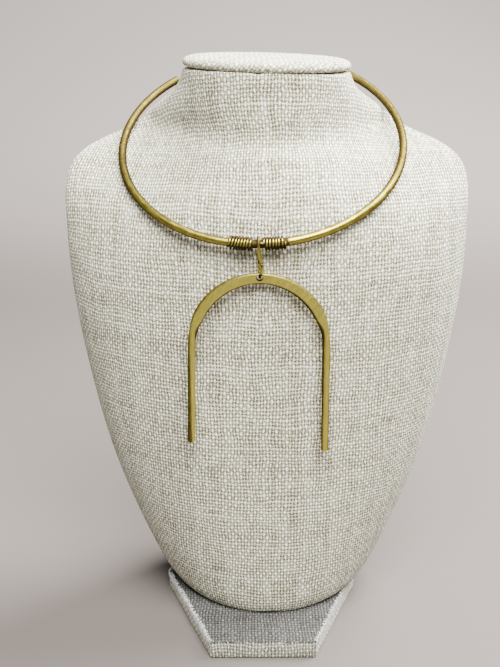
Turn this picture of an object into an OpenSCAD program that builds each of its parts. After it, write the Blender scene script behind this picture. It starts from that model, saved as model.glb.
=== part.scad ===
// An open brass neck ring with wire-wrapped front, a wire link and a hammered arch pendant,
// held by a cloth-covered neck bust on a flat plate. The front faces -Y, the plate rests on z = 0.

/* [Neck ring] */
// Radius of the ring's centre line
ring_r = 70; // [68:0.5:72]
// Thickness of the ring's round wire
ring_wire_d = 4; // [3.4:0.1:4]
// How far the ring's plane drops to the front, in degrees
ring_tilt = 32.7; // [31:0.1:34]
// How much higher the ring lies on its right side (+X), in degrees
ring_roll = 3.1; // [2:0.1:4]
// Opening between the ring's two ends, behind the neck
ring_opening = 26; // [12:1:60]

/* [Wire coils] */
// Thickness of the wrapping wire
coil_wire_d = 1.1; // [0.8:0.05:1.1]
// Step from one turn to the next
coil_pitch = 1.34; // [1.2:0.01:1.5]
// Turns of the left coil
left_turns = 8; // [5:1:10]
// Turns of the right coil
right_turns = 7; // [5:1:10]
// Bare stretch of the ring between the coils, where the link hangs
coil_gap = 4.2; // [3.8:0.1:6]

/* [Link] */
// Thickness of the link's wire
link_wire_d = 1.45; // [1.2:0.05:1.5]
// Clear play between the link and the ring's wire
link_play = 0.3; // [0.2:0.05:0.4]
// How far the link's lower end hangs to the right of its upper end
link_lean = 0.6; // [0:0.1:1]
// Gap at the cut in the link's front strand
link_cut = 0.4; // [0.2:0.1:1]

/* [Arch pendant] */
// Thickness of the round rod of the legs
rod_d = 3.7; // [3.2:0.1:4]
// Width between the centre lines of the legs where the arch springs
arch_w = 63.4; // [56:0.2:68]
// Height of the centre line's arch above the point where the legs start
arch_rise = 33.2; // [30:0.2:38]
// Length of the left leg
left_leg = 49; // [30:0.2:60]
// Length of the right leg
right_leg = 53.4; // [30:0.2:60]
// How far each leg leans outwards, in degrees
leg_splay = 1.0; // [0:0.1:2]
// Width of the hammered face at the top of the arch
face_top_w = 5; // [4.4:0.1:6]
// Width of the hammered face on the arch's shoulders
face_side_w = 5.7; // [4.6:0.1:6.5]
// Thickness of the hammered face
face_t = 2.1; // [1.8:0.1:2.6]
// Width of the drilled hole
hole_d = 2.8; // [2.6:0.1:3]
// Metal left above the hole
hole_bridge = 0.6; // [0.5:0.1:1]
// Turn of the pendant on its hole, bottom to the left, in degrees
pendant_lean = 0.6; // [0:0.1:2]

/* [Bust] */
// Distance of the bust's middle from the plate's middle, to the right
bust_x = 3; // [0:0.5:5]
// Gap between the bust, its cap and its plate
seam_gap = 0.1; // [0.05:0.05:0.3]
// How much lower the neck's seam lies on its right side, in degrees
seam_roll = 1.7; // [0:0.1:3]
// How much lower the neck's seam lies at its front, in degrees
seam_dip = 1; // [0:0.1:3]
// Height of the cap above the seam of the neck
cap_h = 6; // [5:0.2:12]
// How far the cap stands out beyond the neck
cap_overhang = 0.5; // [0.2:0.1:3]

/* [Base plate] */
// Thickness of the plate
plate_t = 10; // [6:0.5:14]
// Width of the plate's front and back edges
plate_end_w = 53.7; // [40:1:70]
// Width of the plate at its middle
plate_mid_w = 105.9; // [90:1:120]
// Depth of the plate from front to back
plate_depth = 130; // [120:1:150]

/* [Hidden] */
$fn = 96;

brass = "#8f7c43";
pale_brass = "#b3a45c";
linen = "#d8d0c2";

// Centre of the ring
ring_centre = [0.5, 9.75, 250.6];
// The ring's own right, forward-up and upright directions
ring_right = [cos(ring_roll), 0, sin(ring_roll)];
ring_back_raw = [0, cos(ring_tilt), sin(ring_tilt)];
ring_back_level = ring_back_raw - (ring_back_raw * ring_right) * ring_right;
ring_back = ring_back_level / norm(ring_back_level);
ring_up = cross(ring_right, ring_back);

// A point of the ring's centre line, a degrees round from the front towards +X
function ring_point(a) = ring_centre + ring_r * (sin(a) * ring_right - cos(a) * ring_back);
// The direction away from the ring's centre at that point
function ring_out(a) = sin(a) * ring_right - cos(a) * ring_back;

// Place of the link along the ring, and its two axes of motion
link_angle = -3.7;
hang = ring_point(link_angle);

// Link: bends round the ring and through the pendant's hole
link_r = ring_wire_d / 2 + link_play + link_wire_d / 2;
hole_drop = 15.7;
hole_z = hang[2] - hole_drop;
// Clear play above the link's wire in the hole, and the rise of its bend within the hammered face
hole_play = 0.17;
bend_rise = link_r - sqrt(link_r * link_r - face_t * face_t / 4);
link_low_z = hole_z + hole_d / 2 - link_wire_d / 2 - hole_play - bend_rise;
link_bend_z = link_low_z + link_r;

// Pendant: its centre line in its own plane, x to the right and z up from the hole
arch_top_z = hole_d / 2 + hole_bridge - face_top_w / 2;
spring_z = arch_top_z - arch_rise;

// Closes a stack of equal rings of points into one solid
module skin(rings) {
    n = len(rings[0]);
    m = len(rings);
    lower = [for (i = [0:m - 2]) for (j = [0:n - 1]) let (k = (j + 1) % n)
        [i * n + j, (i + 1) * n + j, (i + 1) * n + k]];
    upper = [for (i = [0:m - 2]) for (j = [0:n - 1]) let (k = (j + 1) % n)
        [i * n + j, (i + 1) * n + k, i * n + k]];
    first_end = [for (j = [0:n - 1]) j];
    last_end = [for (j = [n - 1:-1:0]) (m - 1) * n + j];
    points = [for (r = rings) for (p = r) p];
    polyhedron(points, concat(lower, upper, [first_end, last_end]), convexity = 6);
}

// One round section of a wire of thickness d at the point p, across the directions u and v
function wire_ring(p, u, v, d, sides) =
    [for (j = [0:sides - 1]) let (b = 360 * j / sides) p + d / 2 * (cos(b) * u + sin(b) * v)];

module neck_ring() {
    gap_angle = 2 * asin((ring_opening / 2 + ring_wire_d / 2) / ring_r);
    half_turn = (360 - gap_angle) / 2;
    frame = [
        [ring_right[0], ring_back[0], ring_up[0], ring_centre[0]],
        [ring_right[1], ring_back[1], ring_up[1], ring_centre[1]],
        [ring_right[2], ring_back[2], ring_up[2], ring_centre[2]],
        [0, 0, 0, 1]
    ];
    color(brass) multmatrix(frame) rotate([0, 0, -90 - half_turn]) {
        rotate_extrude(angle = 2 * half_turn) translate([ring_r, 0]) circle(d = ring_wire_d);
        translate([ring_r, 0, 0]) rotate([90, 0, 0]) wire_end();
        rotate([0, 0, 2 * half_turn]) translate([ring_r, 0, 0]) rotate([-90, 0, 0]) wire_end();
    }
}

// The rounded end of the ring's wire, on the flat end of its bend
module wire_end() {
    rotate_extrude() intersection() {
        circle(d = ring_wire_d);
        square(ring_wire_d);
    }
}

// Wire wound round the ring: start and turns along the ring, lean of the turns in degrees
module coil(start_angle, turns, lean) {
    clear_play = 0.15;
    winding_r = ring_wire_d / 2 + coil_wire_d / 2 + clear_play;
    steps = 12;
    pitch_angle = coil_pitch / ring_r * 180 / PI;
    lean_angle = winding_r * tan(lean) / ring_r * 180 / PI;
    function winding_point(k) =
        let (w = 360 * k / steps)
        let (a = start_angle + pitch_angle * k / steps + lean_angle * sin(w))
        ring_point(a) + winding_r * (cos(w) * ring_out(a) + sin(w) * ring_up);
    rings = [for (k = [0:turns * steps])
        let (w = 360 * k / steps)
        let (a = start_angle + pitch_angle * k / steps)
        let (away = cos(w) * ring_out(a) + sin(w) * ring_up)
        let (along_raw = winding_point(k + 0.5) - winding_point(k - 0.5))
        let (side_raw = cross(along_raw, away))
        let (side = side_raw / norm(side_raw))
        wire_ring(winding_point(k), side, away, coil_wire_d, 6)];
    skin(rings);
}

module left_coil() {
    half_gap = (coil_gap / 2 + coil_wire_d / 2) / ring_r * 180 / PI;
    length_angle = left_turns * coil_pitch / ring_r * 180 / PI;
    color(brass) coil(link_angle - half_gap - length_angle, left_turns, 9);
}

module right_coil() {
    half_gap = (coil_gap / 2 + coil_wire_d / 2) / ring_r * 180 / PI;
    color(brass) coil(link_angle + half_gap, right_turns, 0);
}

module pendant_link() {
    // Runs of the centre line from the cut down, round the hole, up the back and over the ring
    straight = hang[2] - link_bend_z;
    cut_z = link_bend_z + 0.3 * straight;
    bend_steps = 10;
    strand_steps = 6;
    front_bow = 0.9;
    back_bow = -0.2;
    cut_shift = 0.25;
    below_cut = cut_z - link_cut / 2 - link_bend_z;
    lower_front = [for (k = [0:2]) [-link_r, link_bend_z + below_cut * (1 - k / 3)]];
    low_bend = [for (k = [0:bend_steps]) let (b = 180 * k / bend_steps)
        [-link_r * cos(b), link_bend_z - link_r * sin(b)]];
    back = [for (k = [1:strand_steps - 1]) [link_r, link_bend_z + straight * k / strand_steps]];
    top_bend = [for (k = [0:bend_steps]) let (b = 180 * k / bend_steps)
        [link_r * cos(b), hang[2] + link_r * sin(b)]];
    upper_front = [for (k = [1:4]) [-link_r, hang[2] - k / 4 * (hang[2] - cut_z - link_cut / 2)]];
    route = concat(lower_front, low_bend, back, top_bend, upper_front);
    n = len(route);
    // The front strand bows to the right, and the cut ends stand a little apart
    function bow(k) = let (z = route[k][1])
        let (s = max(0, min(1, (z - link_bend_z) / straight)))
        let (shift = k < n / 2 && s > 0 ? cut_shift : 0)
        route[k][0] < 0 ? front_bow * sin(180 * s) + shift : back_bow * sin(180 * s);
    function lean(z) = link_lean * max(0, min(1, (hang[2] - z) / straight));
    points = [for (k = [0:n - 1])
        [hang[0] + bow(k) + lean(route[k][1]), hang[1] + route[k][0], route[k][1]]];
    rings = [for (k = [0:n - 1])
        let (along_raw = points[min(k + 1, n - 1)] - points[max(k - 1, 0)])
        let (v_raw = cross([1, 0, 0], along_raw))
        let (v = v_raw / norm(v_raw))
        let (u_raw = cross(along_raw, v))
        let (u = u_raw / norm(u_raw))
        wire_ring(points[k], v, u, link_wire_d, 8)];
    color(brass) skin(rings);
}

module arch_pendant() {
    // Half of the arch, and how far the rod is hammered flat at an angle a from its springing
    half_w = arch_w / 2;
    function ease(x) = let (s = max(0, min(1, x))) s * s * (3 - 2 * s);
    function flatness(a) = ease((min(a, 180 - a) - 7) / 26);
    function width(a) =
        rod_d + (face_side_w - rod_d) * flatness(a) - (face_side_w - face_top_w) * pow(sin(a), 8);
    function thickness(a) = rod_d - (rod_d - face_t) * flatness(a);
    // Cross section square to the centre line: across is its direction in the pendant's plane
    function section(p, across, w, t, flat) = [for (j = [0:15])
        let (b = 360 * j / 16)
        let (power = 2 / (2 + 2.4 * flat))
        let (u = w / 2 * sign(cos(b)) * pow(abs(cos(b)), power))
        let (v = t / 2 * sign(sin(b)) * pow(abs(sin(b)), power))
        [p[0] + u * across[0], v, p[1] + u * across[1]]];
    function leg(side, length, inset) =
        let (away = [side * sin(leg_splay), -cos(leg_splay)])
        section([side * half_w, spring_z] + length * away, [cos(leg_splay), side * sin(leg_splay)],
            rod_d - 2 * inset, rod_d - 2 * inset, 0);
    end_round = 0.35;
    right_rings = [
        leg(1, right_leg, end_round), leg(1, right_leg - end_round, 0), leg(1, right_leg / 2, 0)
    ];
    arch_rings = [for (a = [0:5:180])
        let (across_raw = [cos(a) / half_w, sin(a) / arch_rise])
        let (across = across_raw / norm(across_raw))
        section([half_w * cos(a), spring_z + arch_rise * sin(a)], across,
            width(a), thickness(a), flatness(a))];
    // The left leg's sections run on from the arch, so their across direction points to -X
    function mirrored(ring) = [for (j = [0:15]) ring[(24 - j) % 16]];
    left_rings = [
        mirrored(leg(-1, left_leg / 2, 0)), mirrored(leg(-1, left_leg - end_round, 0)),
        mirrored(leg(-1, left_leg, end_round))
    ];
    color(pale_brass)
    translate([hang[0] + link_lean, hang[1], hole_z])
    rotate([0, pendant_lean, 0])
    difference() {
        skin(concat(right_rings, arch_rings, left_rings));
        rotate([90, 0, 0]) cylinder(d = hole_d, h = 2 * rod_d, center = true);
    }
}

// Sections of the bust from the plate up. Columns: height, half width, y of the widest line,
// y of the front, y of the back, half depth of the side wings, and how sharply the chest stands
// out of the right wing and of the left wing, where the ring lies lower.
bust_rows = [
    [10,   50.5, 10,   -41,   50, 36,   1.15, 1.25],
    [14,   55,   10,   -43,   53, 36,   1.15, 1.25],
    [24,   61.5, 10,   -44,   54, 36,   1.15, 1.25],
    [50,   72.6,  9,   -45,   54, 35,   1.2,  1.33],
    [85,   84.6,  8,   -46,   53, 34,   1.25, 1.41],
    [125,  93.6,  8,   -46.5, 52, 34,   1.35, 1.58],
    [165, 100,    8,   -46.5, 51, 33,   1.5,  1.83],
    [195, 102.3,  8,   -45.8, 50, 31,   1.8,  2.32],
    [212, 102.6,  9,   -44.6, 50, 29,   2.4,  3.3],
    [224, 103,   11,   -41.5, 50, 26,   3.2,  4.6],
    [233, 102.2, 14,   -38.5, 50, 20,   4,    6],
    [240, 100,   18,   -35.5, 50, 16,   4.5,  7.2],
    [246,  94.2, 24,   -32.5, 51, 13,   4.9,  7.6],
    [251,  84.5, 30.5, -30,   52, 11,   4.8,  6.6],
    [255,  74,   34.3, -27.5, 53, 10,   4.1,  5.1],
    [260,  66,   35.2, -25.5, 54, 11.5, 3.1,  3.5],
    [265,  60.3, 32.8, -24,   54, 15.5, 2.3,  2.4],
    [270,  53.6, 28,   -22.6, 53, 22.5, 1.75, 1.75],
    [276,  46,   21,   -21.4, 52, 31.5, 1.3,  1.3],
    [281.5, 42.6, 16.7, -20.4, 51, 35.3, 1.1, 1.1],
    [286.2, 41.2, 15,  -20,   50, 35,   1,    1]
];
// Points round each section, and sections made from one row to the next
bust_points = 48;
bust_steps = 2;
// Share of the right wing's sharpness that the fuller back takes
rear_share = 0.2;
// The height at which the neck starts to lean to its sloping seam
seam_start_z = 265;

// How far the sloping plane of the neck's seam lies above its level at a point
function seam_rise(x, y) =
    let (middle_y = bust_rows[len(bust_rows) - 1][2])
    (y - middle_y) * tan(seam_dip) - (x - bust_x) * tan(seam_roll);

// Slope of the rows' columns at row k, for a smooth curve through all rows
function row_slope(k) =
    let (a = max(0, k - 1))
    let (b = min(len(bust_rows) - 1, k + 1))
    (bust_rows[b] - bust_rows[a]) / (bust_rows[b][0] - bust_rows[a][0]);

// The row at a share s of the way from row k to row k + 1
function row_between(k, s) =
    let (h = bust_rows[k + 1][0] - bust_rows[k][0])
    (1 + 2 * s) * (1 - s) * (1 - s) * bust_rows[k]
    + s * (1 - s) * (1 - s) * h * row_slope(k)
    + s * s * (3 - 2 * s) * bust_rows[k + 1]
    - s * s * (1 - s) * h * row_slope(k + 1);

// One level outline of the bust. The wings are an ellipse, and chest, back and neck stand out of it.
function bust_section(row) =
    let (half_w = row[1])
    let (wide_y = row[2])
    let (front = wide_y - row[3])
    let (rear = row[4] - wide_y)
    let (wing = row[5])
    let (rear_wing = min(wing, rear))
    let (top_z = bust_rows[len(bust_rows) - 1][0])
    let (s = max(0, (row[0] - seam_start_z) / (top_z - seam_start_z)))
    let (slope_share = s * s * (3 - 2 * s))
    [for (j = [0:bust_points - 1])
        let (a = 360 * j / bust_points)
        let (c = abs(cos(a)))
        let (y = cos(a) >= 0
            ? wide_y - wing * c - (front - wing) * pow(c, a > 180 ? row[7] : row[6])
            : wide_y + rear_wing * c + (rear - rear_wing) * pow(c, 1 + (row[6] - 1) * rear_share))
        let (x = bust_x + half_w * sin(a))
        [x, y, row[0] + slope_share * seam_rise(x, y)]];

module bust() {
    last = len(bust_rows) - 1;
    levels = concat(
        [for (k = [0:last - 1]) for (s = [0:bust_steps - 1]) row_between(k, s / bust_steps)],
        [bust_rows[last]]
    );
    color(linen) translate([0, 0, seam_gap]) skin([for (row = levels) bust_section(row)]);
}

module neck_cap() {
    top_row = bust_rows[len(bust_rows) - 1];
    low_z = top_row[0] + 2 * seam_gap;
    half_w = top_row[1] + cap_overhang;
    half_d = (top_row[4] - top_row[3]) / 2 + cap_overhang;
    middle = [bust_x, (top_row[3] + top_row[4]) / 2];
    // Columns: share of the cap's height, inset of the outline
    profile = [
        [0, 2], [0.05, 1], [0.2, 0.2], [0.38, 0], [0.56, 0.4],
        [0.72, 1.6], [0.85, 3.8], [0.93, 8], [0.98, 16], [1, 28]
    ];
    rings = [for (p = profile) [for (j = [0:bust_points - 1])
        let (a = 360 * j / bust_points)
        let (x = middle[0] + (half_w - p[1]) * sin(a))
        let (y = middle[1] - (half_d - p[1]) * cos(a))
        [x, y, low_z + cap_h * p[0] + seam_rise(x, y)]]];
    color(linen) skin(rings);
}

module base_plate() {
    outline = [
        [-plate_end_w / 2, -plate_depth / 2], [plate_end_w / 2, -plate_depth / 2],
        [plate_mid_w / 2, 0], [plate_end_w / 2, plate_depth / 2],
        [-plate_end_w / 2, plate_depth / 2], [-plate_mid_w / 2, 0]
    ];
    color(linen) linear_extrude(plate_t) polygon(outline);
}

neck_ring();
left_coil();
right_coil();
pendant_link();
arch_pendant();
bust();
neck_cap();
base_plate();
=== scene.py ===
"""Dresses an open brass neck ring with a hammered arch pendant on a linen neck bust."""

import math
import random

import bpy
import numpy as np
from mathutils import Matrix, Vector


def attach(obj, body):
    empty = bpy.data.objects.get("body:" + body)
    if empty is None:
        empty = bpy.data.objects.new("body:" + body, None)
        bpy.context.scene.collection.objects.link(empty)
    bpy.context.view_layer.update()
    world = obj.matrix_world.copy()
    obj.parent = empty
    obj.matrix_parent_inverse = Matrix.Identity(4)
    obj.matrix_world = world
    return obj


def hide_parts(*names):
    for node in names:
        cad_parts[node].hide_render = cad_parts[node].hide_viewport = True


bl_info = {
    "name": "Neck Ring on Bust",
    "version": (1, 0, 0),
    "blender": (4, 5, 0),
    "location": "View3D > Sidebar > Neck Ring",
    "description": "Models a brass neck ring with an arch pendant on a linen bust",
    "category": "Add Mesh",
}

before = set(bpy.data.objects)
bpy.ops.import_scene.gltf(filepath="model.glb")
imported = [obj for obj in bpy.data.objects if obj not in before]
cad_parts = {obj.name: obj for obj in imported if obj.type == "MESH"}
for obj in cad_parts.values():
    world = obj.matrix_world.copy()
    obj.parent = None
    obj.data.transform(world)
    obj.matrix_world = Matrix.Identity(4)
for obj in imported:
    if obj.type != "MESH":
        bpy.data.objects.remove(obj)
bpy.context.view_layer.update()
MM = 0.001
STAND, LINK, PENDANT = "stand", "link", "pendant"
# Points this close are one point: of a new mesh, and of a CAD node's loose triangles
MERGE, CAD_MERGE = 1e-7, 2e-6
SMOOTH_BELOW = math.radians(50)
CLOTH_RELIEF, BRASS_RELIEF = 0.45 * MM, 0.12 * MM


def size(name, description, value, low=0.0, high=1.0):
    """A length in metres, given in millimetres."""
    return bpy.props.FloatProperty(
        name=name, description=description, default=value * MM, min=low, max=high,
        subtype="DISTANCE", unit="LENGTH", precision=5)


def angle(name, description, degrees):
    return bpy.props.FloatProperty(
        name=name, description=description, default=math.radians(degrees), subtype="ANGLE", unit="ROTATION")


def colour(name, description, value):
    return bpy.props.FloatVectorProperty(
        name=name, description=description, default=value, min=0, max=1, subtype="COLOR")


def position(name, description, millimetres):
    return bpy.props.FloatVectorProperty(
        name=name, description=description, default=[value * MM for value in millimetres],
        subtype="XYZ", unit="LENGTH", precision=5)


def count(name, description, value):
    return bpy.props.IntProperty(name=name, description=description, default=value, min=2)


def power(name, description, watts):
    return bpy.props.FloatProperty(
        name=name, description=description, default=watts, min=0, subtype="POWER", unit="POWER")


class RingSettings(bpy.types.PropertyGroup):
    """Sizes of the neck ring, its two wire coils and the link, as in the solid model"""

    radius: size("Ring Radius", "Radius of the ring's centre line", 70)
    wire: size("Ring Wire", "Thickness of the ring's wire", 4)
    tilt: angle("Tilt", "How far the ring drops to the front", 32.7)
    roll: angle("Roll", "How much higher the ring lies on its right side", 3.1)
    centre: position("Centre", "Centre of the ring", (0.5, 9.75, 250.6))
    opening: size("Opening", "Gap between the ring's ends behind the neck", 26)
    coil_wire: size("Coil Wire", "Thickness of the wrapping wire", 1.1)
    coil_pitch: size("Coil Pitch", "Step from one turn to the next", 1.34)
    coil_play: size("Coil Play", "Clear play between the coils and the ring", 0.15)
    coil_gap: size("Coil Gap", "Bare stretch of the ring at the link", 4.2)
    left_turns: count("Left Turns", "Turns of the left coil", 8)
    right_turns: count("Right Turns", "Turns of the right coil", 7)
    left_lean: angle("Left Lean", "Lean of the left coil's turns", 9)
    link_angle: angle("Link Place", "Where the link hangs, round the ring from its front", -3.7)
    link_wire: size("Link Wire", "Thickness of the link's wire", 1.45)


class PendantSettings(bpy.types.PropertyGroup):
    """Sizes of the arch pendant, as in the solid model"""

    rod: size("Rod", "Thickness of the legs", 3.7)
    width: size("Arch Width", "Width between the legs' centre lines", 63.4)
    rise: size("Arch Rise", "Height of the arch above its springing", 33.2)
    left_leg: size("Left Leg", "Length of the left leg", 49)
    right_leg: size("Right Leg", "Length of the right leg", 53.4)
    splay: angle("Splay", "How far each leg leans outwards", 1)
    face_top: size("Face Top", "Width of the hammered face at the top", 5)
    face_side: size("Face Side", "Width of the hammered face on the shoulders", 5.7)
    face_thickness: size("Face Thickness", "Thickness of the hammered face", 2.1)
    hole: size("Hole", "Width of the drilled hole", 2.8)
    bridge: size("Bridge", "Metal left above the hole", 0.6)
    lean: angle("Lean", "Turn of the pendant on its hole", 0.6)
    place: position("Place", "Centre of the pendant's hole", (-1.372, -49.058, 197.012))


class BrassSettings(bpy.types.PropertyGroup):
    """Colours of the brass"""

    bright: colour("Bright Brass", "Rubbed brass", (0.66, 0.60, 0.115))
    body: colour("Brass", "Common colour of the brass", (0.27, 0.216, 0.036))
    # Also the colour of the painted shade on the brass
    tarnish_and_shade_colour: colour("Tarnish", "Dark brown film in corners", (0.05, 0.036, 0.014))


class LinenSettings(bpy.types.PropertyGroup):
    """Sizes and colours of the cloth on the bust, its cap and its plate"""

    warp_step: size("Warp Step", "Distance between upright threads", 1.6)
    weft_step: size("Weft Step", "Distance between level threads", 1.95)
    pale: colour("Pale Thread", "Colour of the palest threads", (0.955, 0.985, 0.86))
    cream: colour("Cream Thread", "Colour of the common threads", (0.69, 0.705, 0.545))
    tan: colour("Tan Thread", "Colour of the darkest threads", (0.41, 0.365, 0.25))
    # The hole colour is painted shade in the gaps between the threads
    hole: colour("Hole", "Colour of the gaps between the threads", (0.10, 0.078, 0.052))
    bust_x: size("Bust Middle", "Distance of the bust's middle to the right of the plate's", 3, -1)
    seam_height: size("Seam Height", "Height of the neck's seam at its middle", 286.3)
    slope_start: size("Slope Start", "Height where the neck starts to lean to its seam", 265.1)
    seam_middle_y: size("Seam Middle", "Front to back place of the seam's widest line", 15, -1)
    seam_dip: angle("Seam Dip", "How much lower the neck's seam lies at its front", 1)
    seam_roll: angle("Seam Roll", "How much lower the neck's seam lies on its right side", 1.7)


class StageSettings(bpy.types.PropertyGroup):
    """Camera, light and floor"""

    camera_place: position("Camera Place", "Where the camera stands", (-5.95, -471.4, 314.2))
    camera_drop: angle("Camera Drop", "How far the camera looks down", 18.88)
    camera_roll: angle("Camera Roll", "Turn of the camera round its own axis", -0.29)
    lens: bpy.props.FloatProperty(
        name="Lens", description="Focal length in millimetres", default=51.36, min=20, max=200)
    key_power: power("Key Light", "Power of the soft light from the rear right", 106)
    front_power: power("Front Light", "Power of the soft light from the front", 63)
    room_light: bpy.props.FloatProperty(
        name="Room Light", description="Strength of the light from all round", default=0.34, min=0)
    # The floor cloth in painted shade, and the same cloth in painted light where it rises behind
    floor_shade_colour: colour("Floor", "Colour of the floor", (0.118, 0.103, 0.096))
    backdrop_light_colour: colour("Backdrop", "Colour of the floor where it rises behind", (0.31, 0.278, 0.262))


def leave_edit():
    bpy.ops.object.mode_set(mode="OBJECT")


def deselect():
    """Leaves edit mode and selects nothing."""
    if bpy.context.object and bpy.context.object.mode != "OBJECT":
        leave_edit()
    bpy.ops.object.select_all(action="DESELECT")


def make_active(piece):
    deselect()
    piece.select_set(True)
    bpy.context.view_layer.objects.active = piece


def edit(piece, select="SELECT"):
    """Opens a piece in edit mode with all or nothing selected."""
    make_active(piece)
    bpy.ops.object.mode_set(mode="EDIT")
    bpy.ops.mesh.select_all(action=select)


def edit_where(piece, kind, test):
    """Opens a piece in edit mode with those vertices or edges selected that pass a test."""
    edit(piece, "DESELECT")
    bpy.ops.mesh.select_mode(type=kind)
    leave_edit()
    for part in piece.data.vertices if kind == "VERT" else piece.data.edges:
        part.select = test(part)
    bpy.ops.object.mode_set(mode="EDIT")


def edge_ends(piece, edge):
    return [piece.data.vertices[v].co for v in edge.vertices]


def close_ends():
    """Fills the open ends of the tube in edit mode."""
    bpy.ops.mesh.select_all(action="DESELECT")
    bpy.ops.mesh.select_non_manifold()
    bpy.ops.mesh.fill_holes(sides=0)


def face_outwards():
    """Turns all faces of the piece in edit mode outwards and leaves edit mode."""
    bpy.ops.mesh.select_all(action="SELECT")
    bpy.ops.mesh.normals_make_consistent(inside=False)
    leave_edit()


def apply_modifiers(piece):
    make_active(piece)
    for modifier in list(piece.modifiers):
        bpy.ops.object.modifier_apply(modifier=modifier.name)


def subdivide_smoothly(piece):
    modifier = piece.modifiers.new("Smooth", "SUBSURF")
    modifier.levels = modifier.render_levels = 2
    apply_modifiers(piece)


def round_edges(piece, width, segments, above):
    """Rounds the edges that turn by more than a number of degrees, and applies all modifiers."""
    modifier = piece.modifiers.new("Rounded edges", "BEVEL")
    modifier.width = width
    modifier.segments = segments
    modifier.limit_method = "ANGLE"
    modifier.angle_limit = math.radians(above)
    apply_modifiers(piece)


def vertex_array(piece):
    places = np.empty(len(piece.data.vertices) * 3)
    piece.data.vertices.foreach_get("co", places)
    return places.reshape(-1, 3)


def set_vertices(piece, places):
    piece.data.vertices.foreach_set("co", np.asarray(places, float).ravel())
    piece.data.update()


def rename(piece, name):
    piece.name = name
    piece.data.name = name
    return piece


def finish_piece(piece, material, body, slot, *replaced):
    """Shades a piece smooth, gives it its material, attaches it to its body and hides the CAD nodes it
    replaces.
    """
    make_active(piece)
    bpy.ops.object.transform_apply(location=True, rotation=True, scale=True)
    bpy.ops.object.shade_smooth_by_angle(angle=SMOOTH_BELOW)
    piece.data.materials.clear()
    piece.data.materials.append(material)
    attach(piece, body)
    if replaced:
        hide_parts(*replaced)


def arithmetic(operation, swapped=False):
    """An arithmetic operator for Value, with its two sides swapped or not."""
    def work(first, second):
        sides = (second, first) if swapped else (first, second)
        return first.nodes.math(operation, *sides)
    return work


class Value:
    """The output of a shader node, which can be reckoned with as a number can."""

    def __init__(self, nodes, socket):
        self.nodes = nodes
        self.socket = socket

    def __abs__(self):
        return self.nodes.math("ABSOLUTE", self)

    __add__ = arithmetic("ADD")
    __sub__ = arithmetic("SUBTRACT")
    __rsub__ = arithmetic("SUBTRACT", swapped=True)
    __mul__ = arithmetic("MULTIPLY")
    __truediv__ = arithmetic("DIVIDE")


class Nodes:
    """Writes a shader tree: each call adds one node and gives its output."""

    def __init__(self, tree):
        self.tree = tree

    def add(self, kind, **settings):
        node = self.tree.nodes.new(kind)
        for key, value in settings.items():
            setattr(node, key, value)
        return node

    def feed(self, socket, value):
        if isinstance(value, Value):
            self.tree.links.new(value.socket, socket)
        else:
            socket.default_value = value

    def result(self, node, inputs, output=0):
        """Feeds a node's inputs, given by number or name, and gives one of its outputs."""
        for key, value in inputs.items():
            self.feed(node.inputs[key], value)
        return Value(self, node.outputs[output])

    def math(self, operation, *values):
        return self.result(self.add("ShaderNodeMath", operation=operation), dict(enumerate(values)))

    def hypot(self, first, second):
        return self.math("SQRT", first * first + second * second)

    def vector(self, operation, *values):
        return self.result(self.add("ShaderNodeVectorMath", operation=operation), dict(enumerate(values)))

    def scaled(self, vector, factor):
        node = self.add("ShaderNodeVectorMath", operation="SCALE")
        return self.result(node, {0: vector, "Scale": factor})

    def join(self, x, y, z=0.0):
        return self.result(self.add("ShaderNodeCombineXYZ"), {0: x, 1: y, 2: z})

    def split(self, vector):
        node = self.add("ShaderNodeSeparateXYZ")
        self.feed(node.inputs[0], vector)
        return [Value(self, socket) for socket in node.outputs]

    def noise(self, vector, scale, detail=2.0, roughness=0.5, colour=False):
        values = {"Vector": vector, "Scale": scale, "Detail": detail, "Roughness": roughness}
        return self.result(self.add("ShaderNodeTexNoise"), values, "Color" if colour else "Fac")

    def chance(self, vector):
        node = self.add("ShaderNodeTexWhiteNoise", noise_dimensions="3D")
        return self.result(node, {"Vector": vector}, "Value")

    def span(self, value, low, high, to_low=0.0, to_high=1.0):
        """A number that goes smoothly from one value to another as a value goes from low to high."""
        node = self.add("ShaderNodeMapRange", interpolation_type="SMOOTHSTEP")
        return self.result(node, {
            "Value": value, "From Min": low, "From Max": high, "To Min": to_low, "To Max": to_high})

    def mix(self, factor, first, second, blend="MIX"):
        node = self.add("ShaderNodeMix", data_type="RGBA", blend_type=blend)
        return self.result(node, {0: factor, 6: first, 7: second}, 2)

    def shaded(self, colour, shade):
        """A colour times a grey value."""
        return self.mix(1.0, colour, self.join(shade, shade, shade), "MULTIPLY")

    def choose(self, factor, first, second):
        return self.result(self.add("ShaderNodeMix", data_type="FLOAT"), {0: factor, 2: first, 3: second})

    def coordinates(self):
        return self.result(self.add("ShaderNodeTexCoord"), {}, "Object")

    def object_place(self):
        """Object coordinates in millimetres."""
        return self.scaled(self.coordinates(), 1 / MM)

    def place_from(self, centre, rotation=(0, 0, 0)):
        """Object coordinates in millimetres, from a centre and along turned axes."""
        mapping = self.add("ShaderNodeMapping", vector_type="TEXTURE")
        values = {"Vector": self.coordinates(), "Location": centre, "Rotation": rotation}
        return self.scaled(self.result(mapping, values), 1 / MM)

    def group(self, tree, **values):
        """Places a node group; a colour gets its alpha, and an input's name has _ for a space."""
        node = self.add("ShaderNodeGroup")
        node.node_tree = tree
        for name, value in values.items():
            if hasattr(value, "__len__"):
                value = (*value, 1)
            self.feed(node.inputs[name.replace("_", " ")], value)
        return {socket.name: Value(self, socket) for socket in node.outputs}


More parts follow.
